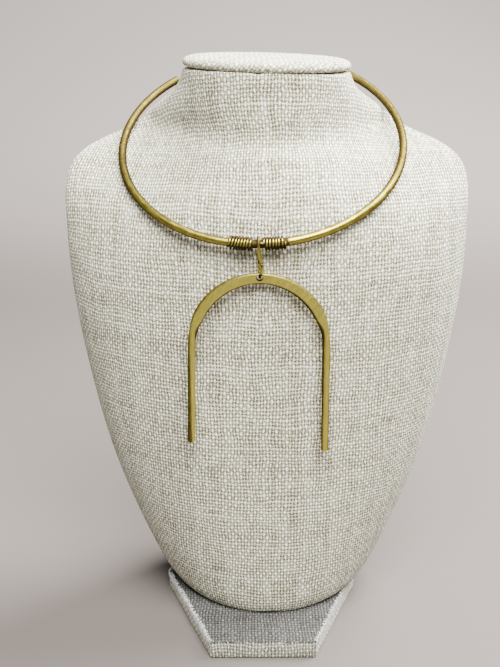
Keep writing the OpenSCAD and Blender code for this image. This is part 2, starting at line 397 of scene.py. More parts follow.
def new_group(name, inputs, outputs):
    """A shader node group with named sockets, the writer of its tree, its inputs and its results."""
    tree = bpy.data.node_groups.new(name, "ShaderNodeTree")
    kinds = {"vector": "NodeSocketVector", "number": "NodeSocketFloat", "colour": "NodeSocketColor"}
    for socket_name, kind in inputs:
        tree.interface.new_socket(socket_name, in_out="INPUT", socket_type=kinds[kind])
    for socket_name, kind in outputs:
        tree.interface.new_socket(socket_name, in_out="OUTPUT", socket_type=kinds[kind])
    n = Nodes(tree)
    given = {socket.name: Value(n, socket) for socket in n.add("NodeGroupInput").outputs}
    return tree, n, given, n.add("NodeGroupOutput").inputs


def new_material(name, roughness=0.5):
    material = bpy.data.materials.new(name)
    material.use_nodes = True
    shader = material.node_tree.nodes["Principled BSDF"]
    shader.inputs["Roughness"].default_value = roughness
    return material, Nodes(material.node_tree), shader


def add_relief(n, shader, height, strength, depth):
    relief = n.add("ShaderNodeBump")
    normal = n.result(relief, {"Strength": strength, "Distance": depth, "Height": height})
    n.feed(shader.inputs["Normal"], normal)


def woven_linen_group():
    """Plain weave from uneven yarns: colour and height from a flat place in metres, with painted shade on
    the threads' flanks and in the gaps and a painted highlight on their crests.
    """
    if "woven linen" in bpy.data.node_groups:
        return bpy.data.node_groups["woven linen"]
    inputs = [
        ("Place", "vector"), ("Warp Step", "number"), ("Weft Step", "number"), ("Fullness", "number"),
        ("Pale", "colour"), ("Cream", "colour"), ("Tan", "colour"), ("Hole", "colour"),
    ]
    tree, n, given, result = new_group("woven linen", inputs, [("Color", "colour"), ("Height", "number")])
    place = n.scaled(given["Place"], 1 / MM)
    # From here on lengths are in millimetres, and noise scales are features to the millimetre

    def wander(scale, detail, reach):
        """Moves places about by up to half the reach, in millimetres."""
        return n.scaled(n.vector("SUBTRACT", n.noise(place, scale, detail, colour=True), (0.5,) * 3), reach)

    drift = wander(0.045, 1.0, 3.4)
    wobble = wander(0.33, 2.0, 1.25)
    across, along, _ = n.split(n.vector("ADD", place, n.vector("ADD", drift, wobble)))
    thread_x = across * MM / given["Warp Step"]
    thread_y = along * MM / given["Weft Step"]
    row_x = n.math("FLOOR", thread_x)
    row_y = n.math("FLOOR", thread_y)
    off_x = n.math("FRACT", thread_x) - 0.5
    off_y = n.math("FRACT", thread_y) - 0.5
    parity = n.math("FRACT", (row_x + row_y) * 0.5)
    sign = n.math("GREATER_THAN", parity, 0.25) * 2.0 - 1.0

    patches = n.span(n.noise(place, 0.11, 2.0), 0.32, 0.68, 0.94, 1.08)
    openness = given["Fullness"] * patches

    def yarn(row, seed, off, run, other_off, side, fullness):
        """Height and tone of one set of yarns, each with thin, thick, pale and dark stretches of its own."""
        own = n.chance(n.join(row, seed, 0.0))
        slub = n.noise(n.join(row * 7.31, run * 0.16, seed), 1.0, 2.0, 0.6)
        thin, thick = 0.66, 1.26
        share = n.span(slub, 0.3, 0.7, thin, thick) + (own - 0.5) * 0.24
        width = openness * fullness * share
        ratio = off / width
        inside = n.math("MAXIMUM", 1.0 - ratio * ratio, 0.0)
        wave = side * n.math("COSINE", other_off * math.pi)
        height = n.math("SQRT", inside) * (wave * 0.34 + 0.67 * fullness)
        spot = n.noise(n.join(row * 3.17, run * 0.13, seed + 5), 1.0, 3.0, 0.7)
        tone = spot * 1.25 - 0.125 + (own - 0.5) * 0.22
        return height, tone

    warp_height, warp_tone = yarn(row_x, 1.7, off_x, along, off_y, sign, 1.12)
    weft_height, weft_tone = yarn(row_y, 8.9, off_y, across, off_x, sign * -1.0, 0.95)
    top = n.math("MAXIMUM", warp_height, weft_height)
    warp_on_top = n.math("GREATER_THAN", warp_height, weft_height)
    paler_warp = 0.10
    tone = n.choose(warp_on_top, weft_tone - paler_warp, warp_tone + paler_warp)
    across_fibre, along_fibre = 9.0, 1.6
    fibre_warp = n.noise(n.join(thread_x * across_fibre, thread_y * along_fibre, 3.0), 1.0, 2.0)
    fibre_weft = n.noise(n.join(thread_x * along_fibre, thread_y * across_fibre, 6.0), 1.0, 2.0)
    fibre = n.choose(warp_on_top, fibre_weft, fibre_warp)
    thread = n.mix(n.span(tone, 0.40, 0.60), given["Cream"], given["Pale"])
    thread = n.mix(n.span(tone, 0.16, 0.34, 1.0, 0.0), thread, given["Tan"])
    # Painted shade on the threads' flanks and a painted highlight on their crests
    painted_thread_shading = n.mix(n.span(top, 0.68, 1.04), (0.47, 0.44, 0.375, 1), (1.12, 1.12, 1.12, 1))
    thread = n.mix(1.0, thread, painted_thread_shading, "MULTIPLY")
    thread = n.shaded(thread, n.span(fibre, 0.3, 0.7, 0.80, 1.06))
    # The gaps between the threads take the hole colour, a painted shade
    n.feed(result["Color"], n.mix(n.span(top, 0.02, 0.3), given["Hole"], thread))
    n.feed(result["Height"], top + fibre * 0.12)
    return tree


def linen_material(name, fullness, bump):
    """Cloth on the piece's own flat map."""
    linen = bpy.context.scene.neckring_linen
    material, n, shader = new_material(name, 0.92)
    place = n.result(n.add("ShaderNodeUVMap", uv_map="weave"), {})
    weave = n.group(
        woven_linen_group(), Place=place, Warp_Step=linen.warp_step, Weft_Step=linen.weft_step,
        Fullness=fullness, Pale=linen.pale, Cream=linen.cream, Tan=linen.tan, Hole=linen.hole)
    n.feed(shader.inputs["Base Color"], weave["Color"])
    add_relief(n, shader, weave["Height"], bump, CLOTH_RELIEF)
    shader.inputs["Specular IOR Level"].default_value = 0.18
    shader.inputs["Sheen Weight"].default_value = 0.1
    shader.inputs["Sheen Roughness"].default_value = 0.6
    return material, n, shader, weave


def worn_brass_group():
    """Rubbed, scratched and tarnished brass with painted shade: colour, roughness and height."""
    if "worn brass" in bpy.data.node_groups:
        return bpy.data.node_groups["worn brass"]
    inputs = [
        ("Place", "vector"), ("Brushed", "vector"), ("Bright", "colour"), ("Body", "colour"),
        ("Tarnish", "colour"), ("Dark", "number"), ("Rubbed", "number"), ("Gloss", "number"),
    ]
    outputs = [("Color", "colour"), ("Roughness", "number"), ("Height", "number")]
    tree, n, given, result = new_group("worn brass", inputs, outputs)
    # Clouds and mottling of tarnish, brush lines, scratches and dark specks, by features to the millimetre
    cloud = n.noise(given["Place"], 0.28, 4.0, 0.6)
    mottle = n.noise(given["Place"], 1.7, 4.0, 0.65)
    brushing = n.noise(given["Brushed"], 2.6, 4.0, 0.7)
    scratch = n.span(n.noise(given["Brushed"], 1.3, 2.0, 0.5), 0.60, 0.70)
    specks = n.span(n.noise(given["Place"], 3.1, 2.0, 0.6), 0.68, 0.78)
    # Dark brings tarnish and the callers' painted shade; both are painted with the tarnish colour
    tarnish_and_shade = given["Dark"] + (cloud - 0.5) * 0.7 + (mottle - 0.5) * 0.55
    film = n.span(tarnish_and_shade, 0.12, 0.95) * (1.0 - given["Rubbed"])
    film = n.math("MAXIMUM", film, specks * 0.45)
    bright = n.math("MAXIMUM", given["Rubbed"], n.span(cloud + brushing, 0.85, 1.2, 0.0, 0.7))
    metal = n.mix(bright, given["Body"], given["Bright"])
    metal = n.shaded(metal, n.span(brushing - specks * 0.25, 0.3, 0.7, 0.82, 1.1))
    n.feed(result["Color"], n.mix(film, metal, given["Tarnish"]))
    rough = given["Gloss"] + (brushing - 0.5) * 0.22 + film * 0.38 + scratch * 0.1
    n.feed(result["Roughness"], rough)
    n.feed(result["Height"], brushing * 0.6 + mottle * 0.35 - scratch * 0.35)
    return tree


def brass_material(name, gloss, bump, surface):
    """Brass whose surface() gives the place, the brushed place, the tarnish and the rubbed parts."""
    brass = bpy.context.scene.neckring_brass
    material, n, shader = new_material(name)
    place, brushed, tarnish_and_shade, rubbed = surface(n)
    metal = n.group(
        worn_brass_group(), Place=place, Brushed=brushed, Bright=brass.bright, Body=brass.body,
        Tarnish=brass.tarnish_and_shade_colour, Dark=tarnish_and_shade, Rubbed=rubbed, Gloss=gloss)
    shader.inputs["Metallic"].default_value = 1
    # Brass this old stays yellow where it is seen at a low angle
    shader.inputs["Specular Tint"].default_value = (0.55, 0.46, 0.26, 1)
    n.feed(shader.inputs["Base Color"], metal["Color"])
    n.feed(shader.inputs["Roughness"], metal["Roughness"])
    add_relief(n, shader, metal["Height"], bump, BRASS_RELIEF)
    return material


def ring_frame(ring):
    """The ring's own right, back and up directions, as the columns of a matrix."""
    right = Vector((math.cos(ring.roll), 0, math.sin(ring.roll)))
    back = Vector((0, math.cos(ring.tilt), math.sin(ring.tilt)))
    back = (back - back.dot(right) * right).normalized()
    return Matrix((right, back, right.cross(back))).transposed()


def ring_point(ring, turn, out=0.0, up=0.0):
    """A place near the ring's centre line, turn radians round from the front towards +X."""
    reach = ring.radius + out
    local = Vector((reach * math.sin(turn), -reach * math.cos(turn), up))
    return Vector(ring.centre) + ring_frame(ring) @ local


def near_ring(n, ring):
    """Distances in millimetres along the ring's centre line, out from it, up from it, and from it."""
    x, y, up = n.split(n.place_from(ring.centre, ring_frame(ring).to_euler()))
    turn = n.math("ARCTAN2", x, y * -1.0)
    out = n.hypot(x, y) - ring.radius / MM
    along = (turn - ring.link_angle) * (ring.radius / MM)
    return along, out, up, n.hypot(out, up)


def forward(n, ring, along, out, up):
    """How far a place stands out of the ring's centre line to the front, where the metal is rubbed and away
    from which shade is painted.
    """
    turn = along / (ring.radius / MM) + ring.link_angle
    level, upright = 0.62, 0.78
    return out * n.math("COSINE", turn) * level + up * upright


def wires(name, lines, thickness, tips=(1.0, 1.0), roundness=4):
    """Round wires, each through its line of points, with a share of the thickness at each tip."""
    deselect()
    bpy.ops.curve.primitive_nurbs_path_add()
    path = bpy.context.object
    path.data.splines.clear()
    for points in lines:
        spline = path.data.splines.new("POLY")
        spline.points.add(len(points) - 1)
        for knot, place in zip(spline.points, points):
            knot.co = (*place, 1)
        spline.points[0].radius, spline.points[-1].radius = tips
    path.data.bevel_depth = thickness / 2
    path.data.bevel_resolution = roundness
    path.data.use_fill_caps = True
    bpy.ops.object.convert(target="MESH")
    piece = rename(bpy.context.object, name)
    edit(piece)
    bpy.ops.mesh.remove_doubles(threshold=MERGE)
    face_outwards()
    return piece


class NECKRING_OT_ring(bpy.types.Operator):
    """Model the open ring of round wire"""

    bl_idname = "neckring.ring"
    bl_label = "Neck Ring"

    def execute(self, context):
        ring = context.scene.neckring_ring
        half_gap = math.asin((ring.opening / 2 + ring.wire / 2) / ring.radius)
        start = math.pi + half_gap
        sweep = 2 * math.pi - 2 * half_gap
        turn = ring_frame(ring)
        tangent = turn @ Vector((math.cos(start), math.sin(start), 0))
        around = 28
        deselect()
        bpy.ops.mesh.primitive_circle_add(
            vertices=around, radius=ring.wire / 2, location=ring_point(ring, start),
            rotation=tangent.to_track_quat("Z", "Y").to_euler())
        piece = rename(context.object, "neck_ring_wire")
        edit(piece)
        bpy.ops.mesh.spin(steps=300, angle=sweep, center=ring.centre, axis=turn.col[2])
        close_ends()
        leave_edit()
        ends = {key for face in piece.data.polygons if len(face.vertices) > 4 for key in face.edge_keys}
        if len(ends) != 2 * around:
            raise RuntimeError("The ring's two ends did not close")
        edit_where(piece, "EDGE", lambda edge: edge.key in ends)
        # Nearly the whole radius, so that the ends are almost half balls
        rounding = 0.92 * ring.wire / 2
        bpy.ops.mesh.bevel(offset=rounding, segments=6, affect="EDGES")
        bpy.ops.mesh.select_mode(type="VERT")
        face_outwards()

        def surface(n):
            along, out, up, _ = near_ring(n, ring)
            place = n.join(along, out, up)
            brushed = n.join(along * 0.07, out, up)
            shown = forward(n, ring, along, out, up)
            # Painted shade lies on the side away from the front, a painted dark reflection grows round to
            # the back, and tarnish and painted shade lie under and between the coils
            away = n.span(shown, 1.75, 0.2, 0.0, 0.74)
            far = abs(along)
            coil_end = 13.7
            coil_tarnish_and_shade = n.span(far, coil_end + 0.8, coil_end - 0.7, 0.0, 0.8)
            tarnish_and_shade = away + coil_tarnish_and_shade + n.span(far, 45.0, 95.0, 0.24, 0.68)
            open_part = n.span(far, 90.0, 50.0) * n.span(far, coil_end - 0.3, coil_end + 0.9)
            return place, brushed, tarnish_and_shade, n.span(shown, 1.4, 1.95, 0.0, 0.24) * open_part

        brass = brass_material("ring brass", 0.3, 0.25, surface)
        finish_piece(piece, brass, STAND, "ring_brass", "neck_ring")
        return {"FINISHED"}


def coil_points(ring, start, turns, lean, tail_first, random_source):
    """The centre line of a coil wound round the ring from the angle start, with or without a tail."""
    winding = ring.wire / 2 + ring.coil_wire / 2 + ring.coil_play
    steps = 28  # for each turn
    looseness = 0.09  # of a pitch
    lean_angle = winding * math.tan(lean) / ring.radius
    pitch_angle = ring.coil_pitch / ring.radius
    shifts = [random_source.uniform(-looseness, looseness) for _ in range(turns + 2)]
    tail_turn = math.radians(52)
    first = tail_turn if tail_first else 0.0
    points = []
    for k in range(turns * steps + 1):
        turns_done = k / steps
        wound = 2 * math.pi * turns_done + first
        here, part = int(turns_done), turns_done % 1
        shift = shifts[here] * (1 - part) + shifts[here + 1] * part
        turn = start + pitch_angle * (turns_done + shift) + lean_angle * math.sin(wound)
        points.append(ring_point(ring, turn, winding * math.cos(wound), winding * math.sin(wound)))
    if tail_first:
        # The cut end points towards the link and dips a little to the ring
        away = points[0] - ring_point(ring, start)
        towards_link = (ring_point(ring, start - 0.02) - ring_point(ring, start)).normalized()
        rise, tip, dip = 0.55 * ring.coil_wire, ring.coil_wire, 0.04
        points.insert(0, points[0] + towards_link * rise)
        points.insert(0, points[0] + towards_link * tip - away * dip)
    return points


class NECKRING_OT_coils(bpy.types.Operator):
    """Model the two coils of fine wire beside the link"""

    bl_idname = "neckring.coils"
    bl_label = "Wire Coils"

    def execute(self, context):
        ring = context.scene.neckring_ring
        half_gap = (ring.coil_gap / 2 + ring.coil_wire / 2) / ring.radius
        length = ring.left_turns * ring.coil_pitch / ring.radius
        source = random.Random(11)

        def surface(n):
            along, out, up, distance = near_ring(n, ring)
            place = n.join(along, out, up)
            # A turn's middle lies 2.7 mm from the ring's centre line and its crest 3.25 mm
            deep = n.span(distance, 2.7, 3.15, 1.0, 0.0)
            shown = forward(n, ring, along, out, up)
            # Tarnish on the turns' inner halves, and painted shade on their sides turned away from the front
            tarnish_and_shade = deep * 0.9 + n.span(shown, 3.15, 2.5, 0.24, 1.0)
            rubbed = n.span(distance, 3.1, 3.3) * n.span(shown, 2.6, 3.15, 0.0, 0.8)
            return place, n.join(along * 2.0, out, up), tarnish_and_shade, rubbed

        brass = brass_material("coil brass", 0.31, 0.2, surface)
        left_start = ring.link_angle - half_gap - length
        left = coil_points(ring, left_start, ring.left_turns, ring.left_lean, False, source)
        right = coil_points(ring, ring.link_angle + half_gap, ring.right_turns, 0.0, True, source)
        for side, points, tips in (("left", left, (0.6, 0.6)), ("right", right, (0.7, 0.6))):
            piece = wires(side + "_coil_wire", [points], ring.coil_wire, tips)
            finish_piece(piece, brass, STAND, "coil_brass", side + "_coil")
        return {"FINISHED"}


class NECKRING_OT_link(bpy.types.Operator):
    """Model the wire link that joins the pendant to the ring"""

    bl_idname = "neckring.link"
    bl_label = "Link"

    def execute(self, context):
        ring = context.scene.neckring_ring
        hang = ring_point(ring, ring.link_angle)
        play = 0.3 * MM
        bend = ring.wire / 2 + play + ring.link_wire / 2
        bend_steps = 20
        # Columns: height above the hang point and shift to the right, in millimetres, going up.
        # The front strand is cut between its two parts.
        low = -12.36
        front_lower = [(low, 1.42), (-11.2, 1.62), (-10.1, 1.66), (-9.25, 1.58)]
        front_upper = [(-8.75, 1.32), (-7.6, 1.2), (-6.2, 0.98), (-4.2, 0.62), (-2.1, 0.3)]
        back = [(low, 0.6), (-10.6, 0.56), (-8, 0.45), (-5, 0.28), (-2, 0.1)]
        front_shift, back_shift, top_shift = front_lower[0][1], back[0][1], 0.05

        def strand(rows, distance):
            return [hang + Vector((shift * MM, distance, height * MM)) for height, shift in rows]

        points = strand(reversed(front_lower), -bend)
        for step in range(1, bend_steps):
            turn = math.pi * step / bend_steps
            shift = front_shift + (back_shift - front_shift) * min(1.0, step / 7)
            points.append(hang + Vector((
                shift * MM, -bend * math.cos(turn), low * MM - bend * math.sin(turn))))
        points += strand(back, bend)
        for step in range(bend_steps + 1):
            turn = math.pi * step / bend_steps
            points.append(hang + Vector((
                top_shift * MM * step / bend_steps, bend * math.cos(turn), bend * math.sin(turn))))
        points += strand(reversed(front_upper), -bend)
        piece = wires("pendant_link_wire", [points], ring.link_wire, (0.82, 0.7))

        def surface(n):
            place = n.object_place()
            _, _, height = n.split(place)
            # Darker over the ring, painted shade at the cut in place of its glint, and a painted shadow in
            # the pendant's hole
            cut_height = 203.75
            over = n.span(height, 211.5, 214.0, 0.0, 0.6)
            cut = n.span(abs(height - cut_height), 1.1, 0.35, 0.0, 0.9)
            painted_hole_shadow = n.span(height, 200.2, 198.2, 0.0, 1.1)
            tarnish_and_shade = over + cut + painted_hole_shadow + 0.16
            brushed = n.vector("MULTIPLY", place, (1, 1, 0.12))
            return place, brushed, tarnish_and_shade, n.span(tarnish_and_shade, 0.2, 0.5, 0.7, 0.0)

        brass = brass_material("link brass", 0.24, 0.2, surface)
        finish_piece(piece, brass, LINK, "coil_brass", "pendant_link")
        return {"FINISHED"}


def hammered_section(arch, turn, offset, away):
    """Moves one point of the round rod to the hammered section at an angle of the arch."""
    hammer_start, hammer_run = math.radians(7), math.radians(26)
    share = max(0.0, min(1.0, (min(turn, math.pi - turn) - hammer_start) / hammer_run))
    flat = share * share * (3 - 2 * share)
    # The face is narrower again over its topmost part only, which the high power gives
    widening, narrowing = arch.face_side - arch.rod, arch.face_side - arch.face_top
    wide = arch.rod + widening * flat - narrowing * math.sin(turn) ** 8
    thick = arch.rod - (arch.rod - arch.face_thickness) * flat
    # The round section grows square corners as it gets flat
    squareness = 2 / (2 + 2.4 * flat)
    u, v = offset / (arch.rod / 2), away / (arch.rod / 2)
    across = wide / 2 * math.copysign(abs(u) ** squareness, u)
    return across, thick / 2 * math.copysign(abs(v) ** squareness, v)


class NECKRING_OT_pendant(bpy.types.Operator):
    """Model the arch pendant: a round rod, hammered flat over its arch and drilled"""

    bl_idname = "neckring.pendant"
    bl_label = "Arch Pendant"

    def execute(self, context):
        arch = context.scene.neckring_pendant
        half = arch.width / 2
        spring = arch.hole / 2 + arch.bridge - arch.face_top / 2 - arch.rise
        deselect()
        bpy.ops.mesh.primitive_circle_add(
            vertices=32, radius=arch.rod / 2, location=(half, 0, spring - arch.right_leg))
        piece = rename(context.object, "arch_pendant_brass")
        edit(piece)
        self.extrude_leg(arch.right_leg)
        bpy.ops.mesh.spin(steps=120, angle=math.pi, center=(0, 0, spring), axis=(0, 1, 0))
        self.extrude_leg(-arch.left_leg)
        bpy.ops.mesh.select_all(action="SELECT")
        bpy.ops.mesh.remove_doubles(threshold=MERGE)
        close_ends()
        face_outwards()
        bpy.ops.object.transform_apply(location=True, rotation=True, scale=True)
        places = vertex_array(piece)
        for place in places:
            x, y, z = place
            if z > spring + 1e-6:
                turn = math.atan2(z - spring, x)
                across, away = hammered_section(arch, turn, math.hypot(x, z - spring) - half, y)
                normal = Vector((math.cos(turn) / half, math.sin(turn) / arch.rise)).normalized()
                place[0] = half * math.cos(turn) + across * normal[0]
                place[1] = away
                place[2] = spring + arch.rise * math.sin(turn) + across * normal[1]
            else:
                place[0] += math.copysign(math.tan(arch.splay) * (spring - z), x)
        set_vertices(piece, places)
        undrilled = len(piece.data.vertices)
        deselect()
        bpy.ops.mesh.primitive_cylinder_add(
            vertices=48, radius=arch.hole / 2, depth=3 * arch.rod, rotation=(math.pi / 2, 0, 0))
        drill = context.object
        cut = piece.modifiers.new("Hole", "BOOLEAN")
        cut.operation = "DIFFERENCE"
        cut.object = drill
        cut.solver = "EXACT"
        round_edges(piece, 0.16 * MM, 3, above=48)
        bpy.data.objects.remove(drill)
        if len(piece.data.vertices) <= undrilled:
            raise RuntimeError("The pendant's hole was not cut")
        make_active(piece)
        piece.rotation_euler = (0, arch.lean, 0)
        piece.location = arch.place

        def surface(n):
            place = n.place_from(arch.place)
            x, y, z = n.split(place)
            # The arch is brushed aslant, and the legs along their length
            level, upright = 0.6, 0.8
            turned = x * level + z * upright
            crossed = z * level - x * upright
            arch_foot = -24.0
            on_legs = n.span(z, arch_foot - 4, arch_foot + 4, 1.0, 0.0)
            arch_brush = n.join(turned * 0.12, y, crossed)
            leg_brush = n.join(x, y, z * 0.06)
            brushed = n.mix(on_legs, arch_brush, leg_brush)
            # How far a place lies out from the arch's centre line, and from the middle of the hole
            arch_x = x / (half / MM)
            arch_z = (z - spring / MM) * (MM / arch.rise)
            out = (n.hypot(arch_x, arch_z) - 1.0) * (0.5 * (half + arch.rise) / MM)
            out = n.choose(on_legs, out, abs(x) - half / MM)
            from_hole = n.hypot(x, z)
            # Tarnish and painted shade lie along the arch's rims, more so on the inside, painted shade on
            # the legs' sides, and a painted shadow in and round the hole
            arch_rim_tarnish_and_shade = n.span(abs(out), 1.7, 2.6, 0.0, 0.7)
            painted_leg_side_shade = n.span(abs(out), 0.7, 1.75, 0.0, 0.7)
            rim_tarnish_and_shade = n.choose(on_legs, arch_rim_tarnish_and_shade, painted_leg_side_shade)
            inner = n.span(out, -1.3, -2.3, 0.0, 0.4)
            hole = n.span(from_hole, 1.75, 1.42, 0.0, 1.4)
            tarnish_and_shade = rim_tarnish_and_shade + inner + on_legs * 0.05
            rubbed = n.span(from_hole, 1.9, 1.5, 0.8, 0.0) * n.span(tarnish_and_shade, 0.5, 0.0)
            return place, brushed, tarnish_and_shade + hole, rubbed

        brass = brass_material("pendant brass", 0.4, 0.5, surface)
        finish_piece(piece, brass, PENDANT, "pendant_brass", "arch_pendant")
        return {"FINISHED"}

    @staticmethod
    def extrude_leg(length):
        """Draws the open end out by a length up or down, in even steps."""
        steps = 12
        for _ in range(steps):
            bpy.ops.mesh.extrude_region_move(TRANSFORM_OT_translate={"value": (0, 0, length / steps)})


def merged_copy(node, name):
    """A copy of a CAD node with its loose triangles merged."""
    make_active(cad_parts[node])
    bpy.ops.object.duplicate()
    piece = rename(bpy.context.object, name)
    edit(piece)
    bpy.ops.mesh.remove_doubles(threshold=CAD_MERGE)
    leave_edit()
    return piece


def map_from_sides(piece):
    """Gives a piece a flat map for its weave, in metres, seen square on from each side."""
    edit(piece)
    bpy.ops.uv.cube_project(cube_size=1.0, scale_to_bounds=False)
    leave_edit()
    piece.data.uv_layers[0].name = "weave"


def join_to_quads(piece):
    """Joins pairs of triangles, but not over a seam."""
    edit(piece)
    bpy.ops.mesh.tris_convert_to_quads(
        face_threshold=math.radians(60), shape_threshold=math.radians(120), seam=True)
    leave_edit()


def hang_cloth(points, low, high):
    """Lays a woven cloth over a grid of points and gives each point's place on the flat cloth.

    Between the heights low and high the threads lie level and upright. Elsewhere the cloth
    is eased until its threads and its diagonals keep their lengths as well as they can.
    """
    rows, columns = points.shape[:2]
    middle = columns // 2
    across = np.zeros((rows, columns))
    across[:, 1:] = np.cumsum(np.linalg.norm(np.diff(points, axis=1), axis=2), axis=1)
    across -= across[:, middle:middle + 1].copy()
    up = np.zeros(rows)
    up[1:] = np.cumsum(np.linalg.norm(np.diff(points[:, middle], axis=0), axis=1))
    flat = np.stack([across, np.repeat(up[:, None], columns, axis=1)], axis=2).reshape(-1, 2)
    fixed = np.zeros((rows, columns), bool)
    fixed[(points[:, middle, 2] > low) & (points[:, middle, 2] < high)] = True
    fixed[:, middle] = True
    free = ~fixed.ravel()
    number = np.arange(rows * columns).reshape(rows, columns)
    pairs = (
        (number[:, :-1], number[:, 1:]), (number[:-1], number[1:]),
        (number[:-1, :-1], number[1:, 1:]), (number[:-1, 1:], number[1:, :-1]),
    )
    first = np.concatenate([pair[0].ravel() for pair in pairs])
    second = np.concatenate([pair[1].ravel() for pair in pairs])
    place = points.reshape(-1, 3)
    rest = np.linalg.norm(place[first] - place[second], axis=1)
    count = len(flat)
    ties = np.bincount(first, minlength=count) + np.bincount(second, minlength=count)
    rounds, haste = 4000, 1.8
    for _ in range(rounds):
        span = flat[second] - flat[first]
        length = np.maximum(np.linalg.norm(span, axis=1), 1e-9)
        pull = span * ((length - rest) / length)[:, None] / 2
        for axis in (0, 1):
            move = np.bincount(first, pull[:, axis], count) - np.bincount(second, pull[:, axis], count)
            flat[free, axis] += (move / ties * haste)[free]
    return flat.reshape(rows, columns, 2)


def bust_levels(piece, linen, columns):
    """The vertex numbers of each outline of the bust, from the base up, each from the front towards +X."""
    places = vertex_array(piece)
    x, y, z = places.T
    rise = (y - linen.seam_middle_y) * math.tan(linen.seam_dip)
    rise -= (x - linen.bust_x) * math.tan(linen.seam_roll)
    # The upper outlines slope with the neck's seam: their level heights come from a few rounds
    level = z.copy()
    for _ in range(12):
        share = np.clip((level - linen.slope_start) / (linen.seam_height - linen.slope_start), 0, 1)
        level = z - share * share * (3 - 2 * share) * rise
    order = np.argsort(level, kind="stable")
    if len(order) % columns:
        raise RuntimeError("The bust's outlines do not have equal numbers of points")
    lines = []
    for start in range(0, len(order), columns):
        line = order[start:start + columns]
        own = places[line]
        middle = (own[own[:, 0].argmin()] + own[own[:, 0].argmax()]) / 2
        turn = np.mod(np.arctan2(own[:, 0] - middle[0], middle[1] - own[:, 1]) + 1e-4, 2 * math.pi)
        lines.append([int(v) for v in line[turn.argsort()]])
    return lines


class NECKRING_OT_bust(bpy.types.Operator):
    """Model the linen skin of the bust over its solid"""

    bl_idname = "neckring.bust"
    bl_label = "Bust"

    def execute(self, context):
        linen = context.scene.neckring_linen
        piece = merged_copy("bust", "bust_linen_skin")
        columns = 48
        levels = bust_levels(piece, linen, columns)
        seams = set()
        for column in (columns // 4, 3 * columns // 4):
            seams.update(frozenset((a[column], b[column])) for a, b in zip(levels, levels[1:]))
        for line in (levels[0], levels[-1]):
            seams.update(frozenset(pair) for pair in zip(line, line[1:] + line[:1]))
        for edge in piece.data.edges:
            edge.use_seam = frozenset(edge.vertices) in seams
        join_to_quads(piece)
        # The cloth spans the hollow at the front where the neck meets the shoulders
        low, high, rear = 249 * MM, 280 * MM, 20 * MM
        edit_where(piece, "VERT", lambda vertex: low < vertex.co.z < high and vertex.co.y < rear)
        bpy.ops.mesh.vertices_smooth(factor=0.5, repeat=12)
        leave_edit()
        self.map_cloth(piece, np.array(levels))
        subdivide_smoothly(piece)
        cloth = linen_material("bust linen", 0.33, 1.0)[0]
        finish_piece(piece, cloth, STAND, "bust_linen", "bust")
        return {"FINISHED"}

    @staticmethod
    def map_cloth(piece, levels):
        """Gives the skin its flat map: one cloth for the front, one for the back."""
        level_low, level_high = 20 * MM, 190 * MM
        places = vertex_array(piece)
        columns = levels.shape[1]
        quarter = columns // 4
        flat = {}
        for side, middle in enumerate((0, columns // 2)):
            grid = levels[:, [(middle + k) % columns for k in range(-quarter, quarter + 1)]]
            cloth = hang_cloth(places[grid], level_low, level_high)
            for vertex, place in zip(grid.ravel(), cloth.reshape(-1, 2)):
                flat[side, int(vertex)] = place
        front = {vertex for side, vertex in flat if side == 0}
        if not piece.data.uv_layers:
            piece.data.uv_layers.new()
        piece.data.uv_layers[0].name = "weave"
        layer = piece.data.uv_layers["weave"].data
        for face in piece.data.polygons:
            side = 0 if front.issuperset(face.vertices) else 1
            for loop, vertex in zip(face.loop_indices, face.vertices):
                layer[loop].uv = flat.get((side, vertex), places[vertex][:2])


class NECKRING_OT_cap(bpy.types.Operator):
    """Model the padded cloth cap on the neck"""

    bl_idname = "neckring.cap"
    bl_label = "Neck Cap"

    def execute(self, context):
        piece = merged_copy("neck_cap", "neck_cap_pad")
        join_to_quads(piece)
        subdivide_smoothly(piece)
        map_from_sides(piece)
        # The cap's threads lie aslant
        c, s = math.cos(math.radians(38)), math.sin(math.radians(38))
        for loop in piece.data.uv_layers["weave"].data:
            u, v = loop.uv
            loop.uv = (c * u - s * v, s * u + c * v)
        cloth = linen_material("cap linen", 0.40, 0.8)[0]
        finish_piece(piece, cloth, STAND, "bust_linen", "neck_cap")
        return {"FINISHED"}


class NECKRING_OT_plate(bpy.types.Operator):
    """Model the cloth-covered plate under the bust"""

    bl_idname = "neckring.plate"
    bl_label = "Base Plate"

    def execute(self, context):
        piece = merged_copy("base_plate", "base_plate_cloth")
        edit(piece)
        bpy.ops.mesh.dissolve_limited(angle_limit=math.radians(3))
        leave_edit()
        round_edges(piece, 0.9 * MM, 4, above=30)
        map_from_sides(piece)
        cloth, n, shader, weave = linen_material("plate linen", 0.29, 0.6)
        # The cloth on top is painted in a deep bluish shade, with a ragged line to the cloth of the sides,
        # and the slants are pale
        _, front, height = n.split(n.object_place())
        ragged = height + n.span(n.noise(n.object_place(), 0.9, 3.0, 0.7), 0.3, 0.7, -0.9, 0.9)
        painted_shade_on_top = n.span(ragged, 8.6, 9.5)
        on_slant = n.span(abs(front), 64.3, 63.6)
        side = n.mix(on_slant, (0.74, 0.765, 0.80, 1), (1.0, 1.0, 1.0, 1))
        tone = n.mix(painted_shade_on_top, side, (0.12, 0.123, 0.152, 1))
        n.feed(shader.inputs["Base Color"], n.mix(1.0, weave["Color"], tone, "MULTIPLY"))
        finish_piece(piece, cloth, STAND, "plate_linen", "base_plate")
        return {"FINISHED"}


